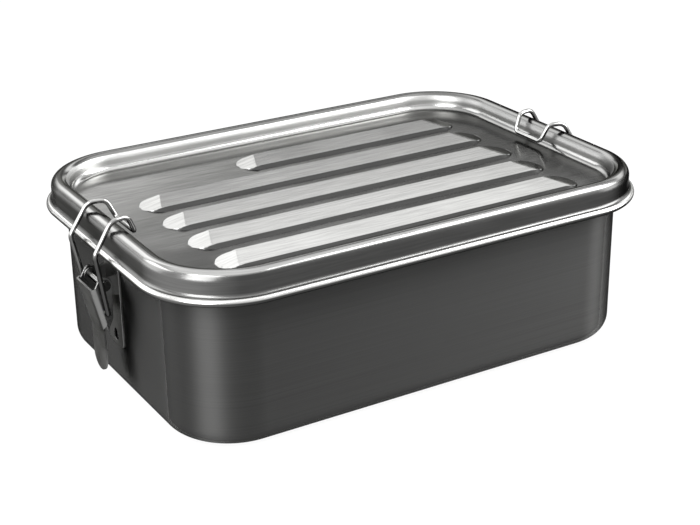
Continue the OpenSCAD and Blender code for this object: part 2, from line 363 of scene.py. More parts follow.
def rib_height(x, y, row, start):
    """Height of one rib over the panel at each (x, y)."""
    aside = y - row
    beyond, half_top, half_foot = rib_plan(x, start)
    end = RIB_HEIGHT * (1 - beyond)
    top = soft_min(RIB_HEIGHT + RIB_TILT * aside, end, RIDGE_CREASE)
    edge = np.minimum(RIB_HEIGHT + RIB_TILT * np.sign(aside) * half_top, end)
    side = edge * (half_foot - np.abs(aside)) / np.maximum(half_foot - half_top, 0.05 * MM)
    return np.maximum(np.minimum(top, side), 0)


def follow_ribs(x, rows):
    """Bends the rows round the ribs' ends, so that the edges there lie on rows too."""
    nearest = np.abs(rows[:, None] - RIB_ROWS).argmin(1)
    row = RIB_ROWS[nearest][:, None]
    start = np.where(nearest == len(RIB_ROWS) - 1, RIB_SHORT_START, RIB_LEFT)[:, None]
    beyond, top, foot = rib_plan(x, start)
    back = np.clip(beyond - 1, 0, 1)
    top, foot = top + (RIB_TOP / 2 - top) * back, foot + (RIB_FOOT / 2 - foot) * back
    aside = np.abs(rows[:, None] - row)
    over = np.clip(aside / (RIB_TOP / 2), 0, 1)
    down = np.clip((aside - RIB_TOP / 2) / ((RIB_FOOT - RIB_TOP) / 2), 0, 1)
    valley = np.clip((aside - RIB_FOOT / 2) / ((RIB_PITCH - RIB_FOOT) / 2), 0, 1)
    bent = top * over + (foot - top) * down + (RIB_PITCH / 2 - foot) * valley
    bent = bent + np.maximum(aside - RIB_PITCH / 2, 0)
    return row + np.sign(rows[:, None] - row) * bent


def panel_relief(x, y):
    """Height of all ribs over the panel, and which points lie on their sides."""
    relief, on_side = np.zeros_like(x), np.zeros(x.shape, bool)
    for number, row in enumerate(RIB_ROWS):
        start = RIB_SHORT_START if number == len(RIB_ROWS) - 1 else RIB_LEFT
        relief = np.maximum(relief, rib_height(x, y, row, start))
        beyond, half_top, half_foot = rib_plan(x, start)
        aside = np.abs(y - row)
        near = (aside > half_top + SIDE_MARGIN) & (aside < half_foot + SIDE_MARGIN / 2)
        on_side |= near & (beyond < 0.9)
    return relief, on_side


# %% Lid
def panel_rows():
    """Rows of constant y: close together on the ribs' sides and in the corners."""
    half_top, half_foot = RIB_TOP / 2 / MM, RIB_FOOT / 2 / MM
    steps = np.concatenate([np.linspace(0, half_top, 6), [half_top + 0.2],
                            np.linspace(half_top, half_foot, 4)[1:],
                            [half_foot + 0.2, half_foot + 0.8]]) * MM
    steps = np.unique(np.concatenate([-steps, steps]).round(7))
    rows = (RIB_ROWS[:, None] + steps[None]).ravel()
    fixed = core_y + panel_s * np.sin(np.radians([0, 78, 82, 86, 90]))
    fixed = np.concatenate([-fixed, fixed])
    rows = rows[np.abs(rows[:, None] - fixed).min(1) > 0.25 * MM]
    rows = rows[np.abs(rows) < fixed.max()]
    extra = core_y + panel_s * np.sin(np.radians(np.arange(3, 76, 3)))
    extra = np.concatenate([-extra, extra, [core_y - 0.6 * MM, 0.6 * MM - core_y]])
    extra = extra[np.abs(extra[:, None] - rows).min(1) > 0.35 * MM]
    return np.sort(np.concatenate([rows, fixed, extra]))


def lid_grids():
    """Panel as rows of constant y, and the edge profile swept round its rim."""
    rows = panel_rows()
    rise = np.clip((np.abs(rows) - core_y) / panel_s, 0, 1)
    reach = panel_s * np.sqrt(1 - rise ** 2)
    inner = np.linspace(-core_x, core_x, 41)
    for low, high in ((RIB_LEFT - RIB_END, RIB_LEFT + END_REACH),
                      (RIB_RIGHT - END_REACH, RIB_RIGHT + RIB_END),
                      (RIB_SHORT_START - RIB_END - END_STEP, RIB_SHORT_START + END_REACH)):
        inner = np.concatenate([inner[(inner < low) | (inner > high)], np.arange(low, high, END_STEP)])
    inner = inner[np.abs(inner) < core_x - 0.8 * MM]
    inner = np.unique(np.concatenate([inner, [-core_x, 0.6 * MM - core_x, core_x - 0.6 * MM, core_x]]))
    outer = np.concatenate([np.linspace(0, 0.42, 22)[1:], np.linspace(0.42, 1, 14)[1:]])
    left = -core_x - reach[:, None] * outer[None, ::-1]
    right = core_x + reach[:, None] * outer[None]
    x = np.concatenate([left, np.repeat(inner[None], len(rows), 0), right], 1)
    y = follow_ribs(x, rows)
    relief, on_side = panel_relief(x, y)
    panel = np.stack([x, y, panel_z + relief], -1)
    # Painted shade on the ribs' sides: their points take a far darker level than the panel
    panel_painted_light_and_roughness = np.where(on_side[..., None], SIDE_PAINTED_SHADE_AND_ROUGHNESS, PANEL_TONE_AND_ROUGHNESS)
    margin = np.maximum(core_y + panel_s - y, 0)
    # Painted light on the panel's edge at the back, fading inwards
    panel_painted_light_and_roughness[..., 0] *= np.where(on_side, 1, 1 + BACK_MARGIN_PAINTED_LIGHT * np.exp(-margin / MARGIN_FADE))

    straight = np.abs(rows) <= core_y
    back_angles = np.degrees(np.arcsin(rise[rows > core_y]))[:-1]
    front_angles = 90 - np.degrees(np.arcsin(rise[rows < -core_y]))[1:]
    loop = lid_loop(inner, rows[straight], back_angles, front_angles)
    profile, painted_light_and_roughness = lid_profile()
    rim = sweep(loop, profile, panel_s)
    # Painted light on the skirt's left side, and painted shade on the right side (all but the curl) and on
    # the bead at the back
    right_side, back_side = loop[1][:, :1], loop[1][:, 1:]
    left, right, back = (np.clip((side - 0.3) / 0.6, 0, 1) for side in (-right_side, right_side, back_side))
    painted_light_and_roughness = np.repeat(painted_light_and_roughness[None], len(left), 0)
    level = painted_light_and_roughness[..., 0]
    painted_light_and_roughness[..., 0] = level * (1 + LEFT_SKIRT_PAINTED_LIGHT * left * (level < SKIRT_BELOW)
                              - RIGHT_SIDE_PAINTED_SHADE * right * (level < CURL_ABOVE)
                              - BACK_BEAD_PAINTED_SHADE * back * (level > BEAD_ABOVE) * (level < BEAD_BELOW))
    return [(panel, np.stack([x, y], -1)), rim], [panel_painted_light_and_roughness, painted_light_and_roughness]


def lid_loop(side_x, side_y, back_angles, front_angles):
    """The box loop with corner steps that meet the ends of the panel's rows."""
    back, front = np.radians(back_angles), np.radians(front_angles)
    corners = [(core_x, core_y, back), (-core_x, core_y, math.pi - back[::-1]),
               (-core_x, -core_y, math.pi + math.pi / 2 - front[::-1]),
               (core_x, -core_y, 1.5 * math.pi + front)]
    sides = [((core_x, side_y), 0), ((side_x[::-1], core_y), math.pi / 2),
             ((-core_x, side_y[::-1]), math.pi), ((side_x, -core_y), 1.5 * math.pi)]
    feet, outward = [], []
    for (side, angle), (x, y, turn) in zip(sides, corners):
        line = np.stack(np.broadcast_arrays(*side), -1)
        turns = np.concatenate([np.full(len(line), angle), turn])
        feet += [line, np.repeat([[x, y]], len(turn), 0)]
        outward.append(np.stack([np.cos(turns), np.sin(turns)], -1))
    return close_loop(np.concatenate(feet), np.concatenate(outward), len(side_y) // 2)


def lid_profile():
    """Top face from the panel's edge over the bead, down the skirt, round the curl.

    Each part fades evenly from one painted light level and roughness to the next; the levels are painted
    highlight and painted shade."""
    flare_s = skirt_s + SKIRT_FLARE
    flare_z = curl_z + math.sqrt((CURL + SKIRT_FLARE) ** 2 - (flare_s - curl_s) ** 2)
    touch = math.degrees(math.atan2(flare_z - curl_z, flare_s - curl_s))
    skirt = [(skirt_s, bead_z - 0.6 * MM), (skirt_s, (bead_z + flare_z) / 2), (skirt_s, flare_z + 0.3 * MM)]

    def foot_arc(start, end, steps):
        return arc((panel_s, panel_z + RECESS_ROUND), RECESS_ROUND, start, end, steps)[1:]

    def bead_arc(start, end, steps):
        return arc((bead_s, bead_z), BEAD, start, end, steps)[0 if start == 180 else 1:]

    # Painted highlight and painted shade, band by band along the profile, each with its roughness
    parts = [
        ([(panel_s, panel_z)], PANEL_TONE_AND_ROUGHNESS, PANEL_TONE_AND_ROUGHNESS),
        (foot_arc(-90, -40, 8), FOOT_PAINTED_LIGHT_AND_ROUGHNESS, FOOT_PAINTED_LIGHT_AND_ROUGHNESS),
        (foot_arc(-40, 0, 5), FOOT_PAINTED_LIGHT_AND_ROUGHNESS, WALL_PAINTED_LIGHT_AND_ROUGHNESS),
        (bead_arc(180, 140, 6), WALL_PAINTED_LIGHT_AND_ROUGHNESS, WALL_PAINTED_LIGHT_AND_ROUGHNESS),
        (bead_arc(140, 132, 2), WALL_PAINTED_LIGHT_AND_ROUGHNESS, BEAD_PAINTED_LIGHT_AND_ROUGHNESS),
        (bead_arc(132, 114, 5), BEAD_PAINTED_LIGHT_AND_ROUGHNESS, BEAD_PAINTED_LIGHT_AND_ROUGHNESS),
        (bead_arc(114, 106, 2), BEAD_PAINTED_LIGHT_AND_ROUGHNESS, CREST_PAINTED_SHADE_AND_ROUGHNESS),
        (bead_arc(106, 82, 6), CREST_PAINTED_SHADE_AND_ROUGHNESS, CREST_PAINTED_SHADE_AND_ROUGHNESS),
        (bead_arc(82, 70, 3), CREST_PAINTED_SHADE_AND_ROUGHNESS, BEAD_PAINTED_LIGHT_AND_ROUGHNESS),
        (bead_arc(70, 50, 5), BEAD_PAINTED_LIGHT_AND_ROUGHNESS, BEAD_PAINTED_LIGHT_AND_ROUGHNESS),
        (bead_arc(50, 34, 5), BEAD_PAINTED_LIGHT_AND_ROUGHNESS, SKIRT_PAINTED_SHADE_AND_ROUGHNESS),
        (bead_arc(34, 0, 5), SKIRT_PAINTED_SHADE_AND_ROUGHNESS, SKIRT_PAINTED_SHADE_AND_ROUGHNESS),
        (skirt, SKIRT_PAINTED_SHADE_AND_ROUGHNESS, SKIRT_PAINTED_SHADE_AND_ROUGHNESS),
        (arc((flare_s, flare_z), SKIRT_FLARE, 180, 180 + touch, 8), SKIRT_PAINTED_SHADE_AND_ROUGHNESS, FLARE_PAINTED_LIGHT_AND_ROUGHNESS),
        (arc((curl_s, curl_z), CURL, touch, 34, 8)[1:], CURL_PAINTED_HIGHLIGHT_AND_ROUGHNESS, CURL_PAINTED_HIGHLIGHT_AND_ROUGHNESS),
        (arc((curl_s, curl_z), CURL, 34, 4, 3)[1:], CURL_PAINTED_HIGHLIGHT_AND_ROUGHNESS, UNDER_PAINTED_SHADE_AND_ROUGHNESS),
        (arc((curl_s, curl_z), CURL, 4, LID_CURL_END, 18)[1:], UNDER_PAINTED_SHADE_AND_ROUGHNESS, UNDER_PAINTED_SHADE_AND_ROUGHNESS)]
    return (np.concatenate([points for points, _, _ in parts]),
            np.concatenate([np.linspace(first, last, len(points)) for points, first, last in parts]))


lid_shape, lid_painted_light_and_roughness = lid_grids()
lid = sheet_metal(mesh_of_grids("lid_pressing", lid_shape, painted_light_and_roughness=lid_painted_light_and_roughness), RIB_CREASE)
print("lid:", len(lid.data.polygons), "faces")

# %% [markdown]
# ## The seal
#
# A silicone ring lies in the hollow bead and lands on the tray's rolled edge.
# Its section is a D: a flat foot under a round back.

# %% Seal
def make_seal():
    """D-shaped section swept round the box, its flat side down."""
    back = (seal_high.x - seal_low.x) / 2 - core_x - bead_s
    lift = seal_low.z - bead_z
    side = math.degrees(math.asin(lift / back))
    half = math.sqrt(back ** 2 - lift ** 2)
    foot = np.stack([np.linspace(half, -half, 7), np.full(7, lift)], -1)[1:]
    section = np.concatenate([arc((0, 0), back, 180 - side, side, 20), foot]) + (bead_s, bead_z)
    loop = box_loop(side_stations(core_x, 20 * MM), side_stations(core_y, 20 * MM),
                    np.linspace(0, 90, 19)[1:-1])
    return smooth(mesh_of_grids("seal_ring", [sweep(loop, section)]), 50)


seal = make_seal()

# %% [markdown]
# ## The latches
#
# Each latch is four pieces. The bracket is welded to the end wall, the pin runs
# through its two ears, the lever is a bent channel with a flat tongue, and the
# bail is one wire that reaches over the lid's bead. The right-hand latch is
# worked out here; the left one has the same points with x turned over.

# %% Sizes of the latch
WIRE_R = 1.0 * MM
LATCH_SHEET = 0.8 * MM
EDGE = 0.16 * MM
FLANGE_OUT = 7.7 * MM
EAR_OUT = 6.7 * MM
PIN_R = 1.5 * MM
PIN_HEAD_R = 2.3 * MM
PIN_HEAD = 0.7 * MM
PIN_HEAD_ROUND = 0.22 * MM
BRACKET_PLATE = 1.0 * MM

at = {joint["name"]: Vector(joint.get("pos_m", (0, 0, 0))) for joint in frame["joints"]}
pin = np.array([at["right_lever_swing"].x, at["right_lever_swing"].z])
pivot = np.array([at["right_bail_swing"].x, at["right_bail_swing"].z])
plate_low, plate_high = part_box("right_bracket")
wall_x = tray_high.x - 2 * CURL + SHEET
print("pin at", pin / MM, "bail pivot at", pivot / MM)


# %% Lines with rounded corners
def rounded(points, radii, closed=False, step=12):
    """The line through points, each corner replaced by an arc of its radius.

    An arc of radius r touches both sides r * tan(turn / 2) away from the corner."""
    points = np.asarray(points, float)
    count = len(points)
    line = [] if closed else [points[:1]]
    for number in range(0 if closed else 1, count if closed else count - 1):
        corner, radius = points[number], radii[number]
        before = corner - points[number - 1]
        after = points[(number + 1) % count] - corner
        before, after = before / np.linalg.norm(before), after / np.linalg.norm(after)
        turn = math.acos(np.clip(before @ after, -1, 1))
        if radius == 0 or turn < 1e-3:
            line.append(corner[None])
            continue
        inward, along = after - before, after + before
        inward, along = inward / np.linalg.norm(inward), along / np.linalg.norm(along)
        middle = corner + radius / math.cos(turn / 2) * inward
        angle = np.linspace(-turn / 2, turn / 2, max(3, round(math.degrees(turn) / step) + 1))[:, None]
        line.append(middle + radius * (np.sin(angle) * along - np.cos(angle) * inward))
    if not closed:
        line.append(points[-1:])
    return np.concatenate(line)


# %% Plates with rounded edges
def edge_rings(outline, low, high, inward=1.0):
    """Rings of one outline, from just inside its low face to just inside its high one.

    The edge is a quarter circle on each face, so it catches a thin line of light."""
    ahead, behind = np.roll(outline, -1, 0), np.roll(outline, 1, 0)
    before, after = outline - behind, ahead - outline
    before /= np.linalg.norm(before, axis=1, keepdims=True)
    after /= np.linalg.norm(after, axis=1, keepdims=True)
    along = before + after
    along /= np.linalg.norm(along, axis=1, keepdims=True)
    square = np.stack([-along[:, 1], along[:, 0]], -1) * inward
    square /= np.clip((before * along).sum(1), 0.5, 1)[:, None]
    turn = np.radians(np.linspace(0, 90, 4))
    inset = np.concatenate([[2 * EDGE], EDGE * (1 - np.sin(turn))])
    rise = np.concatenate([[0], EDGE * (1 - np.cos(turn))])
    inset = np.concatenate([inset, inset[::-1]])
    height = np.concatenate([low + rise, high - rise[::-1]])
    flat = outline[None] + inset[:, None, None] * square[None]
    height = np.broadcast_to(height[:, None, None], flat.shape[:2] + (1,))
    rings = np.concatenate([flat, height], -1)
    return np.concatenate([rings, rings[:, :1]], 1)


def plate_grids(outline, low, high, axes, hole=None):
    """A plate between two heights: its edge, and its faces drawn to a line or a hole.

    axes says which of x, y and z take the outline's two numbers and the height."""
    edge = edge_rings(outline, low, high)
    if hole is None:
        middle = np.array([*outline.mean(0), 0])
        low_face = np.stack([middle * (1, 1, 0) + edge[0] * (0, 0, 1), edge[0]])
        high_face = np.stack([edge[-1], middle * (1, 1, 0) + edge[-1] * (0, 0, 1)])
        rings = np.concatenate([low_face, edge[1:-1], high_face])
    else:
        centre, radius = hole
        away = outline - centre
        rim = centre + radius * away / np.linalg.norm(away, axis=1, keepdims=True)
        inner = edge_rings(rim, low, high, inward=-1.0)[::-1]
        rings = np.concatenate([edge, inner, edge[:1]])
    points = np.zeros_like(rings)
    points[..., list(axes)] = rings
    return points, rings[..., :2]


def latch_piece(name, side, grids, thickness=None):
    """A finished piece of one latch; side is 1 on the right and -1 on the left."""
    turned = [(points * (side, 1, 1), uv) for points, uv in grids]
    made = mesh_of_grids(name, turned, flip=side < 0)
    if thickness:
        return sheet_metal(made, thickness=thickness)
    work = bmesh.new()
    work.from_mesh(made.data)
    bmesh.ops.recalc_face_normals(work, faces=work.faces)
    work.to_mesh(made.data)
    work.free()
    return smooth(made, 40)


# %% Bracket
EAR_IN = EAR_OUT - LATCH_SHEET
EAR_WALL = 1.5 * MM
EAR_R = PIN_R + EAR_WALL
EAR_CHIN = 0.9
EAR_ROOT_SUNK = 0.4 * MM
EAR_ROOT_DROP = 6 * MM
EAR_ROOT_RISE = 3.5 * MM
EAR_ROUND = 2.8 * MM
EAR_NECK_ROUND = 4 * MM
BRACKET_HOLE_R = 2.5 * MM
BRACKET_HOLE_UP = 4.5 * MM
BRACKET_FOOT_ROUND = 2.2 * MM
BRACKET_TOP_ROUND = 1 * MM


def bracket_grids():
    """A base plate with a hole near its foot, and an ear on each side of the lever."""
    half, low, high = plate_high.y, plate_low.z, plate_high.z
    hole = np.array([0, low + BRACKET_HOLE_UP])
    corners = [(-half, low), (half, low), (half, high), (-half, high)]
    outline = rounded(corners, [BRACKET_FOOT_ROUND] * 2 + [BRACKET_TOP_ROUND] * 2, closed=True)
    steps = [outline]
    for share in (0.25, 0.5, 0.75):
        steps.append((1 - share) * outline + share * np.roll(outline, -1, 0))
    outline = np.stack(steps, 1).reshape(-1, 2)
    grids = [plate_grids(outline, wall_x, wall_x + BRACKET_PLATE, (1, 2, 0), (hole, BRACKET_HOLE_R))]
    root_x = wall_x + EAR_ROOT_SUNK
    ear = [(root_x, pin[1] - EAR_ROOT_DROP), (pin[0] + EAR_R, pin[1] - EAR_R * EAR_CHIN),
           (pin[0] + EAR_R, pin[1] + EAR_R), (pin[0] - EAR_R, pin[1] + EAR_R),
           (root_x, pin[1] + EAR_ROOT_RISE)]
    ear = rounded(ear, [0, EAR_ROUND, EAR_ROUND, EAR_NECK_ROUND, 0], closed=True)
    for across in (-1, 1):
        low, high = sorted((across * EAR_IN, across * EAR_OUT))
        grids.append(plate_grids(ear, low, high, (0, 2, 1)))
    return grids


# %% Pin
def pin_grids():
    """A rod with a flat, round-edged head at each end, turned about its own line."""
    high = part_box("right_hinge_pin")[1]
    head, soft = PIN_HEAD, PIN_HEAD_ROUND
    half = [(0, high.y), (PIN_HEAD_R - soft, high.y), (PIN_HEAD_R, high.y - soft),
            (PIN_HEAD_R, high.y - head + soft / 2), (PIN_HEAD_R - soft / 2, high.y - head),
            (PIN_R, high.y - head), (PIN_R, 0)]
    profile = np.array(half + [(r, -y) for r, y in half[-2::-1]])
    angle = np.radians(np.linspace(0, 360, 33))[:, None]
    radius, y = profile[None, :, 0], profile[None, :, 1]
    points = np.stack([pin[0] + radius * np.cos(angle), y + 0 * angle,
                       pin[1] + radius * np.sin(angle)], -1)
    return [(points, np.stack(np.broadcast_arrays(angle * PIN_R, y), -1))]


# %% [markdown]
# The lever's front is one bent sheet. A flat strip is marked out by its distance
# from the middle line, then folded: up to the bend it stays flat, round the bend
# it follows a quarter circle, and past it the strip runs back towards the wall.
# The strip's half width changes along the lever, which cuts the round tongue out
# of the same surface. The surface drawn is its inside; the thickness is added
# outwards, so it wraps round the two cheeks, plates with their own outline.

# %% Lever
LEVER_BEND = 1.1 * MM
LEVER_RETURN = 0.1 * MM
KNEE_ROUND = 12 * MM
PAST_KNEE = 3 * MM
NARROWING = 5 * MM
TONGUE_LENGTH = 18.8 * MM
TONGUE_HALF = 6.2 * MM
lever_top = pin + (5.2 * MM, -0.7 * MM)
lever_foot = pin + (0.6 * MM, -20.5 * MM)
lever_tip = lever_foot - (0, TONGUE_LENGTH)

# Metal round the pin and the bail's pivot, and small offsets of the cheeks' outline
PIN_WALL = 1.9 * MM
PIVOT_WALL = 1.6 * MM
TOP_BACK = 0.8
NOSE_OUT = 1.2 * MM
NOSE_RISE = 1.1 * MM
NECK_IN = 1 * MM
HEEL_DROP = 2.5 * MM
TOE_IN = 0.3 * MM
TOE_UP = 1.5 * MM


def lever_front():
    """The folded strip: middle line down the lever, and bends on either side."""
    line = rounded([lever_top, lever_foot, lever_tip], [0, KNEE_ROUND, 0], step=2)
    gone = lengths(line)
    total, knee = gone[-1], np.linalg.norm(lever_top - lever_foot)
    even = np.linspace(0, knee + PAST_KNEE, 30)
    tip = total - TONGUE_HALF * (1 - np.sin(np.radians(np.linspace(0, 90, 19))))
    down = np.concatenate([even, np.linspace(even[-1], tip[0], 8)[1:-1], tip])
    x, z = np.interp(down, gone, line[:, 0]), np.interp(down, gone, line[:, 1])
    slope_x, slope_z = np.gradient(x, down), np.gradient(z, down)
    size = np.hypot(slope_x, slope_z)
    inward = np.stack([slope_z, -slope_x], -1) / size[:, None]
    full = FLANGE_OUT - LEVER_BEND + LEVER_BEND * math.pi / 2 + LEVER_RETURN
    narrow = np.clip((down - knee + NARROWING) / NARROWING, 0, 1)
    half = full + (TONGUE_HALF - full) * (3 * narrow ** 2 - 2 * narrow ** 3)
    near_tip = np.clip((down - (total - TONGUE_HALF)) / TONGUE_HALF, 0, 1)
    half = half * np.sqrt(np.clip(1 - near_tip ** 2, 0, 1))

    flat = FLANGE_OUT - LEVER_BEND
    mark = np.concatenate([np.linspace(0, flat, 9), flat + LEVER_BEND * np.radians(np.linspace(11, 90, 8)),
                           [full]])
    mark = np.concatenate([-mark[:0:-1], mark])
    aside = np.clip(mark[None], -half[:, None], half[:, None])
    turn = np.clip((np.abs(aside) - flat) / LEVER_BEND, 0, math.pi / 2)
    past = np.clip(np.abs(aside) - flat - LEVER_BEND * math.pi / 2, 0, None)
    y = np.sign(aside) * (np.minimum(np.abs(aside), flat) + LEVER_BEND * np.sin(turn))
    deep = LEVER_BEND * (1 - np.cos(turn)) + past
    points = np.stack([x[:, None] + deep * inward[:, :1], y, z[:, None] + deep * inward[:, 1:]], -1)
    return points, np.stack(np.broadcast_arrays(down[:, None], aside), -1)


def lever_cheeks():
    """The side plates: a lobe round each pivot, narrowing to nothing at the foot."""
    lobe, foot = PIN_R + PIN_WALL, WIRE_R + PIVOT_WALL
    top = lever_top - (LEVER_BEND * TOP_BACK, 0)
    outline = [top, pin + (NOSE_OUT, lobe + NOSE_RISE), pin + (NECK_IN - lobe, lobe - NECK_IN),
               pin + (-lobe, 0), pivot + (-foot, 0), pivot + (-foot, -HEEL_DROP),
               lever_foot + (-LATCH_SHEET, LATCH_SHEET), lever_foot + (-TOE_IN, TOE_UP)]
    outline = rounded(outline, [0.6 * MM, 2 * MM, 2 * MM, 3 * MM, 3 * MM, 4 * MM, 0, 0], closed=True)
    grids = []
    for across in (-1, 1):
        low, high = sorted((across * (FLANGE_OUT - LATCH_SHEET), across * (FLANGE_OUT - 0.02 * MM)))
        grids.append(plate_grids(outline, low, high, (0, 2, 1)))
    return grids

# %% [markdown]
# The bail is a tube carried along a line with rounded corners. Its rings turn
# with the line: each ring's first direction is the last one's, made square to
# the line again, so that the tube never twists.

# %% Bail
curl_x = core_x + curl_s + CURL
bead_x = core_x + bead_s
HOOK_GAP = 3.74 * MM
HOOK_LIFT = 1.7 * MM
BAIL_GAP = 2.9 * MM
HUMP_GAP = 2.0 * MM
LEG_GAP = 0.7 * MM
WIRE_END = 1.8 * MM
BEND_ASIDE = 12.6 * MM
BEND_RISE = 1.7 * MM
HUMP_ASIDE = 12.0 * MM
HUMP_LEAN = 1.4 * MM
HUMP_SPREAD = 2.2 * MM
HOOK_ASIDE = 9.0 * MM
HOOK_RAKE = 3.4 * MM
# Radius of the wire's bend at its end, leg, hump (outer and inner) and hook
BAIL_BENDS = [1.2 * MM, 4 * MM, 5 * MM, 3.5 * MM, 2.4 * MM]
hook_x = core_x + recess_s - HOOK_GAP - WIRE_R
bend_x = curl_x + BAIL_GAP + WIRE_R
hump_z = lid_high.z + HUMP_GAP + WIRE_R


def tube_grid(line, radius, sides=16):
    """Rings round each point of a line, closed by a small dome at each end."""
    ahead = np.gradient(line, axis=0)
    ahead /= np.linalg.norm(ahead, axis=1, keepdims=True)
    first = np.cross(ahead[0], (0.0, 0.0, 1.0))
    across = [first / np.linalg.norm(first)]
    for heading in ahead[1:]:
        carried = across[-1] - (across[-1] @ heading) * heading
        across.append(carried / np.linalg.norm(carried))
    across = np.array(across)
    other = np.cross(ahead, across)
    dome = np.radians(np.linspace(90, 0, 5))
    start = line[:1] - radius * np.sin(dome)[:, None] * ahead[:1]
    end = line[-1:] + radius * np.sin(dome[::-1])[:, None] * ahead[-1:]
    middle = np.concatenate([start, line[1:-1], end])
    size = np.concatenate([radius * np.cos(dome), np.full(len(line) - 2, radius),
                           radius * np.cos(dome[::-1])])
    index = np.concatenate([np.zeros(5, int), np.arange(1, len(line) - 1), np.full(5, len(line) - 1)])
    angle = np.linspace(0, 2 * math.pi, sides + 1)[None, :, None]
    ring = np.cos(angle) * across[index, None] + np.sin(angle) * other[index, None]
    points = middle[:, None] + size[:, None, None] * ring
    uv = np.stack(np.broadcast_arrays(lengths(middle)[:, None], angle[:, :, 0] * radius), -1)
    return points, uv


def bail_grids():
    """Leg, bend, hump and hook on one side of the lid, then the same back again."""
    half = np.array([(pivot[0], FLANGE_OUT - WIRE_END, pivot[1]),
                     (pivot[0], FLANGE_OUT + LEG_GAP + WIRE_R, pivot[1]),
                     (bend_x, BEND_ASIDE, curl_z + BEND_RISE),
                     (bead_x + HUMP_SPREAD, HUMP_ASIDE, hump_z),
                     (hook_x + HOOK_RAKE, HUMP_ASIDE - HUMP_LEAN, hump_z),
                     (hook_x, HOOK_ASIDE, panel_z + HOOK_LIFT + WIRE_R)])
    radii = [0, *BAIL_BENDS]
    route = np.concatenate([half, half[::-1] * (1, -1, 1)])
    line = rounded(route, radii + radii[::-1], step=8)
    return [tube_grid(line, WIRE_R)]


# %% Both latches
latches = {}
for side, hand in ((1, "right"), (-1, "left")):
    latches[hand] = {
        "bracket": latch_piece(f"{hand}_bracket_plate", side, bracket_grids()),
        "hinge_pin": latch_piece(f"{hand}_pin", side, pin_grids()),
        "lever": latch_piece(f"{hand}_lever_front", side, [lever_front()], LATCH_SHEET),
        "cheeks": latch_piece(f"{hand}_lever_cheeks", side, lever_cheeks()),
        "bail": latch_piece(f"{hand}_bail_wire", side, bail_grids())}
print("latch pieces:", {name: len(piece.data.polygons) for name, piece in latches["right"].items()})

# %% [markdown]
# ## Finishes
#
# All the steel comes from sheet or wire of the same metal, but each surface was
# finished in its own way: the tray and the panel are brushed, the pressed edges
# and the wire are polished, and the latch plates are satin. Their colours also hold
# painted light: the tray's very dark colour is painted shade for the dark room its
# walls reflect, the lid's levels paint its highlights and shade, and the wire's
# underside carries painted shade. One node group makes the brush marks for all of
# them, and another one the faint unevenness that handling and pressing leave.

# %% Node helpers
def add(tree, kind, *links, **values):
    """A node with values on its sockets; links are (socket, output) pairs."""
    made = tree.nodes.new(kind)
    for name, value in values.items():
        if hasattr(made, name):
            setattr(made, name, value)
        else:
            made.inputs[name.replace("_", " ")].default_value = value
    for socket, output in links:
        tree.links.new(output, made.inputs[socket])
    return made


def new_group(name, inputs, outputs):
    """An empty shader node group with named sockets, and its two end nodes."""
    tree = bpy.data.node_groups.new(name, "ShaderNodeTree")
    for label, kind, value in inputs:
        socket = tree.interface.new_socket(label, in_out="INPUT", socket_type=kind)
        if value is not None:
            socket.default_value = value
    for label, kind in outputs:
        tree.interface.new_socket(label, in_out="OUTPUT", socket_type=kind)
    return tree, tree.nodes.new("NodeGroupInput"), tree.nodes.new("NodeGroupOutput")


def ramp(tree, source, low, high, to_low=0.0, to_high=1.0):
    """Smoothly maps a value between low and high to the range to_low to to_high."""
    made = add(tree, "ShaderNodeMapRange", ("Value", source), interpolation_type="SMOOTHSTEP")
    made.inputs["From Min"].default_value = low
    made.inputs["From Max"].default_value = high
    made.inputs["To Min"].default_value = to_low
    made.inputs["To Max"].default_value = to_high
    return made.outputs["Result"]


def make_brush_group():
    """Brush marks: noise drawn out along the grain, in fine and broad streaks."""
    tree, start, end = new_group(
        "brush marks", [("Vector", "NodeSocketVector", None), ("Streaks", "NodeSocketFloat", 1.0)],
        [("Value", "NodeSocketFloat"), ("Height", "NodeSocketFloat")])
    fine = add(tree, "ShaderNodeTexNoise", ("Vector", start.outputs["Vector"]), Scale=1.0, Detail=3.0)
    wide = add(tree, "ShaderNodeVectorMath", (0, start.outputs["Vector"]), operation="MULTIPLY")
    wide.inputs[1].default_value = (0.35, 0.35, 0.22)
    broad = add(tree, "ShaderNodeTexNoise", ("Vector", wide.outputs[0]), Scale=1.0, Detail=2.0)
    both = add(tree, "ShaderNodeMix", (0, start.outputs["Streaks"]), (2, fine.outputs["Fac"]),
               (3, broad.outputs["Fac"]))
    tree.links.new(ramp(tree, both.outputs[0], 0.3, 0.7), end.inputs["Value"])
    tree.links.new(fine.outputs["Fac"], end.inputs["Height"])
    return tree


def make_handling_group():
    """Large soft patches and faint smudges, the same in all directions."""
    tree, start, end = new_group(
        "handling", [("Vector", "NodeSocketVector", None), ("Size", "NodeSocketFloat", 25.0)],
        [("Patches", "NodeSocketFloat"), ("Smudges", "NodeSocketFloat")])
    patches = add(tree, "ShaderNodeTexNoise", ("Vector", start.outputs["Vector"]),
                  ("Scale", start.outputs["Size"]), Detail=2.0)
    smudges = add(tree, "ShaderNodeTexNoise", ("Vector", start.outputs["Vector"]),
                  ("Scale", start.outputs["Size"]), Detail=6.0, Roughness=0.7)
    tree.links.new(ramp(tree, patches.outputs["Fac"], 0.35, 0.65), end.inputs["Patches"])
    tree.links.new(ramp(tree, smudges.outputs["Fac"], 0.5, 0.75), end.inputs["Smudges"])
    return tree


brush_marks = make_brush_group()
handling = make_handling_group()


# %% [markdown]
# Brushed steel spreads a reflection across its grain and keeps it sharp along
# it. The shader's Anisotropic socket does that, with the grain's direction from
# a Tangent node. The marks vary the colour and the normal a little, as fine
# scratches do, and handling varies the roughness. A dark specular tint keeps the
# metal from glaring where it is seen at a low angle.

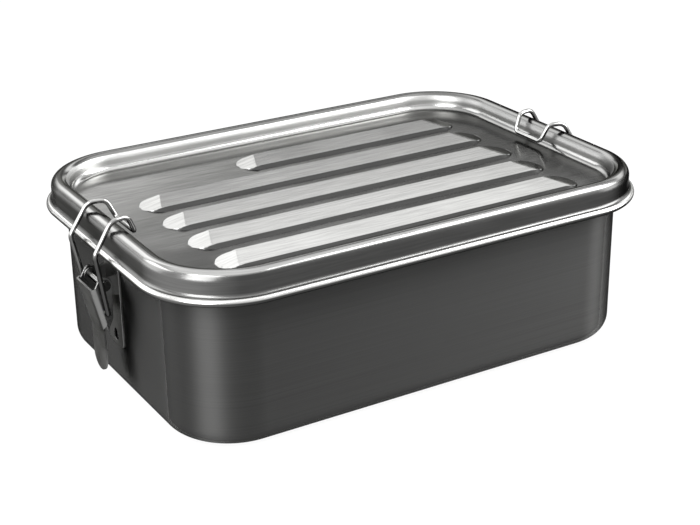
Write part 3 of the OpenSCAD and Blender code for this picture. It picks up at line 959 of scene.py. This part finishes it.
# %% Steel
def grey(level):
    """A neutral grey with the slight warmth of steel."""
    return (level, level, level * 0.985, 1)


EDGE_TINT = 0.15
SCRATCH_DEPTH = 0.005 * MM


def base_nodes(name):
    """A new metal material: its node tree and its shader."""
    material = bpy.data.materials.new(name)
    material.use_nodes = True
    shader = material.node_tree.nodes["Principled BSDF"]
    shader.inputs["Metallic"].default_value = 1.0
    shader.inputs["Specular Tint"].default_value = grey(EDGE_TINT)
    return material, material.node_tree, shader


def brushed(name, dull, bright, rough, anisotropic, grain, streaks, bump, by_painted_light=False):
    """Steel brushed along the U direction of its UV map.

    dull and bright are the colours between which the marks vary, and grain the
    number of marks per metre along and across. With the last argument set, the piece's
    point attribute multiplies the colour by its painted light level, which paints
    highlights and shade, and adds to the roughness."""
    material, tree, shader = base_nodes(name)
    shader.inputs["Anisotropic"].default_value = anisotropic
    shader.inputs["Anisotropic Rotation"].default_value = 0.25
    tangent = add(tree, "ShaderNodeTangent", direction_type="UV_MAP", uv_map="UVMap")
    tree.links.new(tangent.outputs[0], shader.inputs["Tangent"])
    uv = add(tree, "ShaderNodeUVMap", uv_map="UVMap").outputs[0]
    drawn = add(tree, "ShaderNodeMapping", ("Vector", uv))
    drawn.inputs["Scale"].default_value = (*grain, 1)
    marks = add(tree, "ShaderNodeGroup", node_tree=brush_marks)
    tree.links.new(drawn.outputs[0], marks.inputs["Vector"])
    marks.inputs["Streaks"].default_value = streaks
    spots = add(tree, "ShaderNodeGroup", node_tree=handling)
    tree.links.new(add(tree, "ShaderNodeTexCoord").outputs["Object"], spots.inputs["Vector"])

    mixed = add(tree, "ShaderNodeMix", (0, marks.outputs["Value"]), data_type="RGBA")
    mixed.inputs[6].default_value, mixed.inputs[7].default_value = grey(dull), grey(bright)
    colour = mixed.outputs[2]
    worn = ramp(tree, spots.outputs["Patches"], 0, 1, rough - 0.02, rough + 0.02)
    # The point attribute's level paints highlights and shade into the colour
    if by_painted_light:
        painted_light_and_roughness = add(tree, "ShaderNodeAttribute", attribute_name="painted_light_and_roughness").outputs["Vector"]
        parts = add(tree, "ShaderNodeSeparateXYZ", (0, painted_light_and_roughness))
        colour = add(tree, "ShaderNodeVectorMath", (0, colour), operation="SCALE")
        tree.links.new(parts.outputs["X"], colour.inputs["Scale"])
        colour = colour.outputs[0]
        worn = add(tree, "ShaderNodeMath", (0, worn), (1, parts.outputs["Y"]), operation="ADD").outputs[0]
    tree.links.new(colour, shader.inputs["Base Color"])
    tree.links.new(worn, shader.inputs["Roughness"])
    relief = add(tree, "ShaderNodeBump", ("Height", marks.outputs["Height"]))
    relief.inputs["Strength"].default_value = bump
    relief.inputs["Distance"].default_value = SCRATCH_DEPTH
    tree.links.new(relief.outputs[0], shader.inputs["Normal"])
    return material


def plain_steel(name, dull, bright, rough, scale, underside_shade=None):
    """Satin or polished steel for small pieces, mottled by handling.

    The last argument is the share of the colour that is left on the side that faces down, a painted shade."""
    material, tree, shader = base_nodes(name)
    place = add(tree, "ShaderNodeTexCoord")
    spots = add(tree, "ShaderNodeGroup", node_tree=handling)
    tree.links.new(place.outputs["Object"], spots.inputs["Vector"])
    spots.inputs["Size"].default_value = scale
    colour = add(tree, "ShaderNodeMix", (0, spots.outputs["Smudges"]), data_type="RGBA")
    colour.inputs[6].default_value, colour.inputs[7].default_value = grey(bright), grey(dull)
    colour = colour.outputs[2]
    # Painted shade: the colour darkens where the surface faces down
    if underside_shade is not None:
        side = add(tree, "ShaderNodeSeparateXYZ", (0, place.outputs["Normal"])).outputs["Z"]
        shaded_colour = add(tree, "ShaderNodeVectorMath", (0, colour), operation="SCALE")
        tree.links.new(ramp(tree, side, -0.3, 0.7, underside_shade, 1), shaded_colour.inputs["Scale"])
        colour = shaded_colour.outputs[0]
    tree.links.new(colour, shader.inputs["Base Color"])
    worn = ramp(tree, spots.outputs["Patches"], 0, 1, rough * 0.8, rough * 1.25)
    tree.links.new(worn, shader.inputs["Roughness"])
    return material


# The tray's very dark colour is painted shade: it stands for the dark room its walls reflect, far darker
# than bare steel
tray_steel = brushed("tray_steel", 0.050, 0.059, 0.55, 0.85, (8, 3000), 0.25, 0.02)
# The lid's colour is scaled by the painted light levels kept at its points
lid_steel = brushed("lid_steel", 0.80, 1.0, 0.0, 0.2, (60, 1200), 0.3, 0.08, by_painted_light=True)
latch_steel = plain_steel("latch_steel", 0.15, 0.21, 0.32, 60)
# The wire carries painted shade on its underside
wire_steel = plain_steel("wire_steel", 0.32, 0.42, 0.14, 60, underside_shade=0.15)


# %% Silicone
def silicone_finish():
    """Matt, slightly milky rubber with fine dust on it."""
    material = bpy.data.materials.new("silicone")
    material.use_nodes = True
    tree = material.node_tree
    shader = tree.nodes["Principled BSDF"]
    place = add(tree, "ShaderNodeTexCoord").outputs["Object"]
    dust = add(tree, "ShaderNodeTexNoise", ("Vector", place), Scale=600.0, Detail=4.0)
    colour = add(tree, "ShaderNodeMix", (0, dust.outputs["Fac"]), data_type="RGBA")
    colour.inputs[6].default_value = (0.60, 0.60, 0.58, 1)
    colour.inputs[7].default_value = (0.70, 0.70, 0.68, 1)
    tree.links.new(colour.outputs[2], shader.inputs["Base Color"])
    tree.links.new(ramp(tree, dust.outputs["Fac"], 0.3, 0.7, 0.5, 0.65), shader.inputs["Roughness"])
    return material


silicone = silicone_finish()

# %% Each piece to its body, its CAD node and its finish
def dress(piece, body, node, slot, *materials):
    """Sets a piece's materials, makes it ride on its body and stand for its node."""
    piece.data.materials.clear()
    for material in materials:
        piece.data.materials.append(material)
    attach(piece, body)
    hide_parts(node)


dress(tray, "tray", "tray", "tray_steel", tray_steel)
dress(lid, "lid", "lid", "lid_steel", lid_steel)
dress(seal, "lid", "lid_seal", "silicone", silicone)
for hand, pieces in latches.items():
    dress(pieces["bracket"], "tray", f"{hand}_bracket", "latch_steel", latch_steel)
    dress(pieces["hinge_pin"], "tray", f"{hand}_hinge_pin", "wire_steel", wire_steel)
    dress(pieces["lever"], f"{hand}_lever", f"{hand}_lever", "latch_steel", latch_steel)
    dress(pieces["cheeks"], f"{hand}_lever", f"{hand}_lever", "latch_steel", latch_steel)
    dress(pieces["bail"], f"{hand}_bail", f"{hand}_bail", "wire_steel", wire_steel)

# %% [markdown]
# ## Floor, light and camera
#
# Polished metal shows its surroundings more than its own colour, so the room
# matters. The floor is pale. The wall behind is bright in two bands with dark
# ones between and above them, which gives the lid its light and dark lines, and a
# bright window high on the left whitens the ends of the ribs. The wall in front
# is even, and there is soft light overhead. Three soft boxes stand round the box,
# two in front and a weaker one behind on the left.

# %% Floor
FLOOR_GLOW = 0.93


def make_floor():
    """A wide pale plane; it shows the object's shadow over an even white."""
    reach = 6.0
    mesh = bpy.data.meshes.new("floor")
    mesh.from_pydata([(-reach, -reach, 0), (reach, -reach, 0), (reach, reach, 0), (-reach, reach, 0)],
                     [], [(0, 1, 2, 3)])
    floor = bpy.data.objects.new("floor", mesh)
    bpy.context.scene.collection.objects.link(floor)
    material = bpy.data.materials.new("floor_paper")
    material.use_nodes = True
    tree = material.node_tree
    tree.nodes.clear()
    seen = add(tree, "ShaderNodeLightPath")
    rays = add(tree, "ShaderNodeMath", (0, seen.outputs["Is Camera Ray"]),
               (1, seen.outputs["Is Glossy Ray"]), operation="ADD")
    rays = add(tree, "ShaderNodeMath", (0, rays.outputs[0]),
               (1, seen.outputs["Is Transmission Ray"]), operation="ADD")
    share = add(tree, "ShaderNodeMath", (0, rays.outputs[0]), operation="MULTIPLY")
    share.inputs[1].default_value = FLOOR_GLOW
    paper = add(tree, "ShaderNodeBsdfDiffuse")
    paper.inputs["Color"].default_value = (0.90, 0.90, 0.90, 1)
    glow = add(tree, "ShaderNodeEmission")
    glow.inputs["Color"].default_value = (1, 1, 1, 1)
    both = add(tree, "ShaderNodeMixShader", (0, share.outputs[0]), (1, paper.outputs[0]),
               (2, glow.outputs[0]))
    out = add(tree, "ShaderNodeOutputMaterial")
    tree.links.new(both.outputs[0], out.inputs["Surface"])
    mesh.materials.append(material)


make_floor()


# %% World
# How bright the room is at each height of the look direction (1 is straight up),
# behind and in front. Behind, what is seen to the right counts as higher.
BACK_ROOM = [(0, 0.45), (0.24, 3.0), (0.29, 3.0), (0.302, 1.8), (0.314, 0.7), (0.328, 0.27),
             (0.412, 0.27), (0.43, 0.7), (0.445, 1.15), (0.46, 1.8), (0.475, 2.6), (0.49, 3.0), (0.60, 3.0),
             (0.66, 0.3), (0.74, 0.3), (0.83, 1.55), (1, 1.55)]
FRONT_ROOM = [(0, 1.0), (0.74, 0.95), (0.83, 1.55), (1, 1.55)]
RIGHT_LIFT = 0.35
BRIGHTEST = 3.0
BACKWARD = (0.5, 0.87, 0)
# Where the window ends on its right and below, and where the front wall gives way
# to the one behind, each as the start and end of a soft change
WINDOW_SIDE = (0.28, 0.35)
WINDOW_FOOT = (0.40, 0.45)
WALLS_MEET = (0.45, 0.7)


def room_levels(tree, up, stops):
    """How bright the room is at a height of the look direction, from stops."""
    made = add(tree, "ShaderNodeValToRGB", (0, up))
    elements = made.color_ramp.elements
    while len(elements) < len(stops):
        elements.new(0.5)
    for element, (height, level) in zip(elements, stops):
        element.position = height
        element.color = (*[level / BRIGHTEST] * 3, 1)
    return made.outputs[0]


def make_world():
    """A room that changes with height, behind and in front, with a window on the left."""
    world = bpy.data.worlds.new("studio")
    bpy.context.scene.world = world
    world.use_nodes = True
    tree = world.node_tree
    tree.nodes.clear()
    look = add(tree, "ShaderNodeTexCoord").outputs["Generated"]
    split = add(tree, "ShaderNodeSeparateXYZ", (0, look))
    lifted = add(tree, "ShaderNodeVectorMath", (0, look), operation="DOT_PRODUCT")
    lifted.inputs[1].default_value = (RIGHT_LIFT, 0, 1)
    lowered = add(tree, "ShaderNodeMath", (0, lifted.outputs["Value"]), operation="SUBTRACT")
    lowered.inputs[1].default_value = RIGHT_LIFT / 2
    front = room_levels(tree, split.outputs["Z"], FRONT_ROOM)
    back = room_levels(tree, lowered.outputs[0], BACK_ROOM)
    beside = ramp(tree, split.outputs["X"], *WINDOW_SIDE, 1, 0)
    over = ramp(tree, split.outputs["Z"], *WINDOW_FOOT)
    window = add(tree, "ShaderNodeMath", (0, beside), (1, over), operation="MULTIPLY").outputs[0]
    lit = add(tree, "ShaderNodeMix", (0, window), (6, back), data_type="RGBA")
    lit.inputs[7].default_value = (1, 1, 1, 1)
    towards = add(tree, "ShaderNodeVectorMath", (0, look), operation="DOT_PRODUCT")
    towards.inputs[1].default_value = BACKWARD
    room = add(tree, "ShaderNodeMix", (0, ramp(tree, towards.outputs["Value"], *WALLS_MEET)), (6, front),
               (7, lit.outputs[2]), data_type="RGBA")
    sky = add(tree, "ShaderNodeBackground", ("Color", room.outputs[2]))
    sky.inputs["Strength"].default_value = BRIGHTEST
    out = add(tree, "ShaderNodeOutputWorld")
    tree.links.new(sky.outputs[0], out.inputs["Surface"])


make_world()


# %% Lamps
AIM = Vector((-0.4, -7.1, 35.0)) * MM
LAMP_AWAY = 1.5


def soft_box(name, azimuth, elevation, width, height, radiance):
    """An area lamp that faces the object from LAMP_AWAY; azimuth is measured from
    -Y towards +X, and the power is radiance * pi * area."""
    turn, lift = math.radians(azimuth), math.radians(elevation)
    away = Vector((math.sin(turn) * math.cos(lift), -math.cos(turn) * math.cos(lift), math.sin(lift)))
    lamp = bpy.data.lights.new(name, "AREA")
    lamp.shape = "RECTANGLE"
    lamp.size, lamp.size_y = width, height
    lamp.energy = radiance * math.pi * width * height
    placed = bpy.data.objects.new(name, lamp)
    look = (-away).to_track_quat("-Z", "Y").to_matrix().to_4x4()
    placed.matrix_world = Matrix.Translation(AIM + away * LAMP_AWAY) @ look
    bpy.context.scene.collection.objects.link(placed)


soft_box("right_box", 61, 28, 0.8, 1.6, 9)
soft_box("left_box", -60, 28, 0.85, 1.6, 9)
soft_box("side_box", -128, 22, 1.0, 1.2, 3)


# %% Camera
CAMERA_TURN = math.radians(-30.87)
CAMERA_LIFT = math.radians(23.45)
CAMERA_AWAY = 655.0 * MM
CAMERA_ROLL = math.radians(-0.70)
CAMERA_LENS = 77.97


def make_camera():
    """The camera looks at AIM from its angle round the object, rolled a little."""
    away = Vector((math.sin(CAMERA_TURN) * math.cos(CAMERA_LIFT),
                   -math.cos(CAMERA_TURN) * math.cos(CAMERA_LIFT), math.sin(CAMERA_LIFT)))
    lens = bpy.data.cameras.new("camera")
    lens.lens = CAMERA_LENS
    lens.sensor_width = 36
    lens.clip_start, lens.clip_end = 0.01, 50
    placed = bpy.data.objects.new("camera", lens)
    look = (-away).to_track_quat("-Z", "Y").to_matrix().to_4x4()
    roll = Matrix.Rotation(CAMERA_ROLL, 4, "Z")
    placed.matrix_world = Matrix.Translation(AIM + away * CAMERA_AWAY) @ look @ roll
    bpy.context.scene.collection.objects.link(placed)
    bpy.context.scene.camera = placed


make_camera()
bpy.context.scene.view_settings.view_transform = "Standard"
